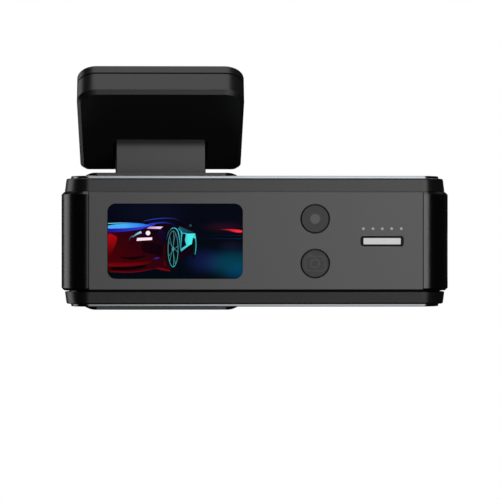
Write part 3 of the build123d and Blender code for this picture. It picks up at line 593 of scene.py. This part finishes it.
# ---- Body of the car, dark red towards its nose ----
picture_piece(
    "car_body", 1, ((-13, -5.5), (64, 0, 6), (-5, 3), (14, 2, 14)),
    plates=[smooth([
        (-16.1, 3.2), (-11.5, 3.6), (-7.9, 4.1), (-5.6, 4.9), (-2.2, 5.4), (0.8, 5.0), (2.9, 3.9),
        (4.6, 2.4), (5.0, 0.4), (4.4, -2.9), (2.6, -3.6), (0.6, -4.6), (-0.9, -6.6), (-5.5, -6.7),
        (-10.5, -7.2), (-15.2, -7.3), (-16.1, -6.6), (-16.1, -2.0),
    ])],
)
picture_piece(
    "cabin_glass", 2, ((-6, 4), (10, 12, 44), (1.6, 4.6), (4, 3, 8)),
    plates=[smooth([
        (-6.6, 4.5), (-4.6, 4.95), (-1.6, 5.2), (0.7, 4.8), (2.2, 3.8), (-1.2, 4.1), (-4.6, 4.2),
    ])],
)
picture_piece(
    "roof_line", 3, ((-7, 0), (34, 70, 176), (1.5, 0), (10, 10, 40)),
    plates=[stroke(
        [(-7.6, 4.8), (-5.4, 5.25), (-2.9, 5.5), (-0.8, 5.45), (0.7, 5.15), (2.7, 4.1)],
        [0.06, 0.2, 0.26, 0.26, 0.2, 0.08],
    )],
)
picture_piece(
    "hood_shadow", 2, ((-15, 2.2), (34, 20, 150), (-7, 3.6), (46, 62, 214)),
    plates=[smooth([
        (-16.1, 3.2), (-12.0, 3.3), (-7.8, 3.75), (-4.6, 4.1), (-6.6, 3.4), (-8.6, 2.8), (-12.0, 2.35),
        (-16.1, 2.2),
    ])],
)
picture_piece(
    "hood_blue", 3, ((-12, 4), (72, 174, 246), (-6, 3.6), (38, 92, 226)),
    plates=[smooth([
        (-16.1, 3.7), (-13.6, 4.12), (-10.6, 4.22), (-8.0, 4.12), (-5.9, 3.85), (-8.0, 3.45),
        (-11.4, 3.15), (-14.4, 3.05), (-16.1, 3.1),
    ])],
)
picture_piece(
    "hood_edge", 4, ((-16, 0), (128, 226, 236), (-10, 0), (60, 140, 240)),
    plates=[stroke([(-16.1, 4.25), (-13.0, 4.36), (-9.4, 4.3), (-7.4, 4.1)], [0.14, 0.2, 0.12, 0.04])],
)
picture_piece(
    "fender_blue", 3, ((-6, 0), (52, 70, 226), (-1, 0), (26, 20, 96)),
    plates=[stroke(
        [(-6.6, 4.05), (-4.8, 4.3), (-2.6, 4.45), (-1.0, 4.2), (0.2, 3.6)],
        [0.08, 0.2, 0.26, 0.16, 0.04],
    )],
)
picture_piece(
    "fender_shade", 3, ((-4.2, 2), (20, 6, 44), (-2.2, 0), (14, 2, 22)),
    plates=[smooth([(-3.6, 2.9), (-2.7, 2.4), (-2.2, 0.8), (-2.5, -0.6), (-3.6, 0.4), (-4.2, 1.6)])],
)

# ---- Nose: grille, bumper lines and their dark intakes ----
picture_piece(
    "grille", 2, ((-15.5, 1), (160, 8, 12), (-14.6, -3), (72, 0, 6)),
    plates=[smooth([
        (-16.1, 1.5), (-14.4, 1.3), (-13.9, 0.6), (-14.4, -1.1), (-15.2, -2.7), (-16.1, -3.7),
    ])],
)
picture_piece(
    "bumper_glow", 2, ((0, -4.6), (48, 0, 8), (0, -5.8), (112, 3, 12)),
    plates=[
        smooth([
            (-16.1, -4.9), (-11.5, -5.1), (-7.4, -4.6), (-4.2, -3.7), (-6.4, -5.3), (-10.8, -5.9),
            (-16.1, -6.0),
        ]),
        stroke([(-15.6, -7.3), (-10.4, -7.4), (-6.6, -6.9), (-5.0, -6.5)], [0.2, 0.24, 0.14, 0.05]),
        stroke([(-4.8, -6.4), (-3.0, -6.7), (-1.2, -7.1)], [0.1, 0.6, 0.2]),
        stroke([(-2.3, -0.5), (-2.75, -2.8), (-2.4, -5.9)], [0.1, 0.55, 0.2]),
    ],
)
picture_piece(
    "intakes", 3, ((-14, -6.4), (6, 0, 2), (-8, -6.2), (14, 0, 4)),
    plates=[
        smooth([(-15.4, -6.2), (-11.0, -6.2), (-7.4, -5.7), (-7.0, -6.3), (-10.6, -6.9), (-15.0, -6.9)]),
        stroke([(-13.2, -3.9), (-10.0, -4.1), (-7.0, -3.5)], [0.2, 0.7, 0.2]),
    ],
)

picture_piece(
    "fog_lamp", 3, ((-5.4, 0), (16, 4, 60), (-4.0, 0), (56, 48, 168)),
    plates=[stroke([(-5.5, -4.3), (-4.6, -4.1), (-3.8, -3.95)], [0.08, 0.4, 0.1])],
)
picture_piece(
    "nose_shade", 2, ((-7.5, 0), (22, 0, 8), (-3.0, 0), (12, 0, 10)),
    plates=[smooth([
        (-7.6, -0.4), (-4.4, -0.6), (-3.0, -1.4), (-3.1, -3.6), (-4.6, -3.3), (-6.4, -2.9), (-7.9, -2.2),
    ])],
)

# ---- Lamps ----
picture_piece(
    "lamp_strip", 4, ((-6.8, 0), (184, 140, 196), (-4.0, 0), (240, 206, 240)),
    plates=[[(-6.1, 3.5), (-2.9, 3.5), (-3.5, 2.95), (-6.85, 3.02)]],
)
picture_piece(
    "headlamp", 4, ((-9, 0), (246, 226, 250), (-5, 0), (255, 240, 248)),
    plates=[circle(-6.5, 1.95, 0.54), [(-9.1, 0.78), (-5.5, 0.92), (-5.55, 0.3), (-9.25, 0.06)]],
)
picture_piece(
    "lamp_edge", 3, ((-10.6, 0.5), (24, 70, 90), (-8.2, 2), (150, 214, 246)),
    plates=[
        stroke([(-10.2, 0.95), (-9.3, 1.65), (-8.1, 2.2)], [0.12, 0.4, 0.5]),
        stroke([(-11.0, 0.2), (-10.7, 0.9), (-10.1, 1.3)], [0.1, 0.22, 0.16]),
    ],
)

# ---- Side of the car in cyan light, with a dark vent, the mirror and the rear wheel ----
picture_piece(
    "side_panel", 2, ((1, 0), (44, 168, 184), (3.4, 0), (72, 236, 232)),
    plates=[
        [
            (2.6, 1.84), (4.8, 1.84), (4.95, 0.95), (4.2, -0.55), (3.3, -1.05), (1.4, -2.5), (1.3, -1.85),
            (2.7, -0.95), (2.35, 0.2),
        ],
        stroke([(0.7, 3.1), (1.5, 2.2), (1.45, 0.2), (1.3, -2.1)], [0.1, 0.36, 0.2, 0.1]),
        stroke([(1.5, 1.95), (2.7, 1.86)], [0.16, 0.2]),
    ],
)
picture_piece(
    "shoulder", 2, ((0.8, 3), (20, 90, 112), (4.6, 2), (24, 44, 60)),
    plates=[smooth([(0.9, 3.5), (2.6, 2.9), (4.7, 2.0), (2.6, 2.1), (1.6, 2.2)])],
)
picture_piece(
    "mirror", 3, ((3.2, 0), (4, 8, 14), (4.0, 0), (36, 96, 100)),
    plates=[smooth([(2.9, 3.55), (3.4, 3.95), (3.75, 4.1), (3.95, 3.65), (3.5, 3.45)])],
)
picture_piece(
    "rear_tyre", 3, ((4.0, 0), (2, 4, 6), (5.0, 0), (4, 14, 18)),
    plates=[circle(4.45, -1.7, 2.6, squeeze=0.18)],
)
picture_piece(
    "rear_wheel", 4, ((4.5, 0), (10, 60, 66), (4.9, 0), (60, 200, 204)),
    rings=[(circle(4.7, -0.8, 2.4, squeeze=0.15), circle(4.62, -0.9, 2.25, squeeze=0.13))],
)

# ---- Front wheel: arch, tyre, and a rim with five pairs of spokes ----
picture_piece(
    "front_arch", 3, ((-1.8, 0), (24, 60, 110), (0.4, 2), (60, 190, 198)),
    plates=[stroke(
        [(-2.05, 0.2), (-1.6, 2.0), (-0.55, 3.15), (0.55, 2.6), (1.05, 0.4), (1.15, -1.6)],
        [0.05, 0.12, 0.18, 0.24, 0.2, 0.06],
    )],
)
picture_piece(
    "front_tyre", 4, ((-2, 0), (4, 3, 6), (0.8, 0), (6, 12, 17)),
    plates=[circle(-0.6, -1.8, 4.8, squeeze=0.33)],
)
wheel_x, wheel_z, wheel_radius, wheel_squeeze = -0.5, -1.85, 4.4, 0.29
spokes = []
for i in range(10):
    inner = 2 * math.pi * (i // 2) / 5
    outer = inner + (0.2 if i % 2 else -0.2)
    spokes.append(stroke(
        [
            (wheel_x + wheel_squeeze * reach * math.cos(turn), wheel_z + reach * math.sin(turn))
            for reach, turn in ((0.5, inner), (2.2, (inner + outer) / 2), (4.2, outer))
        ],
        [0.08, 0.09, 0.13],
        steps=2,
    ))
picture_piece(
    "front_wheel", 5, ((-1.2, 3), (74, 118, 126), (0.4, -5), (58, 158, 156)),
    plates=[circle(wheel_x, wheel_z, 0.6, squeeze=0.5), *spokes],
    rings=[(
        circle(wheel_x, wheel_z, wheel_radius, squeeze=wheel_squeeze),
        circle(wheel_x, wheel_z, wheel_radius - 0.2, squeeze=wheel_squeeze * 0.92),
    )],
)

# =====================================================================================================
# Floor, camera, lights and world
# =====================================================================================================
floor_half_width, floor_drop = 0.6, 0.16
floor_mesh = bpy.data.meshes.new("floor")
grid = bmesh.new()
bmesh.ops.create_grid(grid, x_segments=1, y_segments=1, size=floor_half_width)
bmesh.ops.translate(grid, verts=grid.verts, vec=(face_middle.x, 0, -floor_drop))
grid.to_mesh(floor_mesh)
grid.free()
floor = bpy.data.objects.new("floor", floor_mesh)
bpy.context.scene.collection.objects.link(floor)
floor.visible_glossy = False
floor.visible_diffuse = False
floor_paint = Surface("floor_paint")
floor_mesh.materials.append(floor_paint.finish(
    color=floor_paint.shade(floor_paint.noise(60), (0.78, 0.78, 0.78), (0.82, 0.82, 0.82)),
    roughness=floor_paint.between(floor_paint.noise(20), 0.6, 0.7),
))

# ---- Camera: a long lens that stands square to the faceplate, a little to the left of its middle ----
camera_left, camera_distance, aim_left = 0.0223, 0.727, 0.0015
camera_data = bpy.data.cameras.new("camera")
camera_data.sensor_width = 36
camera_data.lens = 218.3
camera_data.shift_y = -0.0176
camera_data.clip_start = 0.01
camera = bpy.data.objects.new("camera", camera_data)
camera.location = face_middle + Vector((-camera_left, -camera_distance, 0))
aim = face_middle + Vector((-aim_left, 0, 0)) - camera.location
camera.rotation_euler = aim.to_track_quat("-Z", "Y").to_euler()
bpy.context.scene.collection.objects.link(camera)
bpy.context.scene.camera = camera


# ---- Soft cards ----
def soft_card(name, azimuth, elevation, distance, width, height, radiance):
    """A lit card that faces the object. Azimuth turns from the driver's side to the right and elevation
    upwards, in degrees. The radiance is that of the card's surface."""
    data = bpy.data.lights.new(name, "AREA")
    data.shape = "RECTANGLE"
    data.size = width
    data.size_y = height
    data.energy = radiance * math.pi * width * height
    light = bpy.data.objects.new(name, data)
    turn, rise = math.radians(azimuth), math.radians(elevation)
    way = Vector((math.sin(turn) * math.cos(rise), -math.cos(turn) * math.cos(rise), math.sin(rise)))
    light.location = face_middle + distance * way
    light.rotation_euler = (-way).to_track_quat("-Z", "Y").to_euler()
    light.visible_camera = False
    bpy.context.scene.collection.objects.link(light)


soft_card("front_wide", 9, 4.5, 1.1, 1.15, 0.73, 1.4)
soft_card("front_right", 23, 4, 0.55, 0.5, 0.32, 2.25)
soft_card("overhead", 0, 82, 0.95, 0.8, 0.85, 1.9)
soft_card("left_strip", -128, 4, 0.85, 0.42, 0.95, 1.1)
soft_card("road_side", 170, 42, 1.1, 0.8, 0.5, 1.6)

# ---- World: white to the camera. The object sees a dim room that is a little brighter overhead ----
world = bpy.data.worlds.new("studio")
bpy.context.scene.world = world
world.use_nodes = True
studio = world.node_tree
direction = studio.nodes.new("ShaderNodeTexCoord")
split = studio.nodes.new("ShaderNodeSeparateXYZ")
room = studio.nodes.new("ShaderNodeMapRange")
room.inputs["From Min"].default_value = -0.2
room.inputs["From Max"].default_value = 1.0
room.inputs["To Min"].default_value = 0.008
room.inputs["To Max"].default_value = 0.03
ray = studio.nodes.new("ShaderNodeLightPath")
choose = studio.nodes.new("ShaderNodeMix")
choose.inputs["B"].default_value = 1.0
studio.links.new(direction.outputs["Generated"], split.inputs[0])
studio.links.new(split.outputs["Z"], room.inputs["Value"])
studio.links.new(ray.outputs["Is Camera Ray"], choose.inputs["Factor"])
studio.links.new(room.outputs["Result"], choose.inputs["A"])
studio.links.new(choose.outputs["Result"], studio.nodes["Background"].inputs["Color"])
bpy.context.scene.view_settings.view_transform = "Standard"
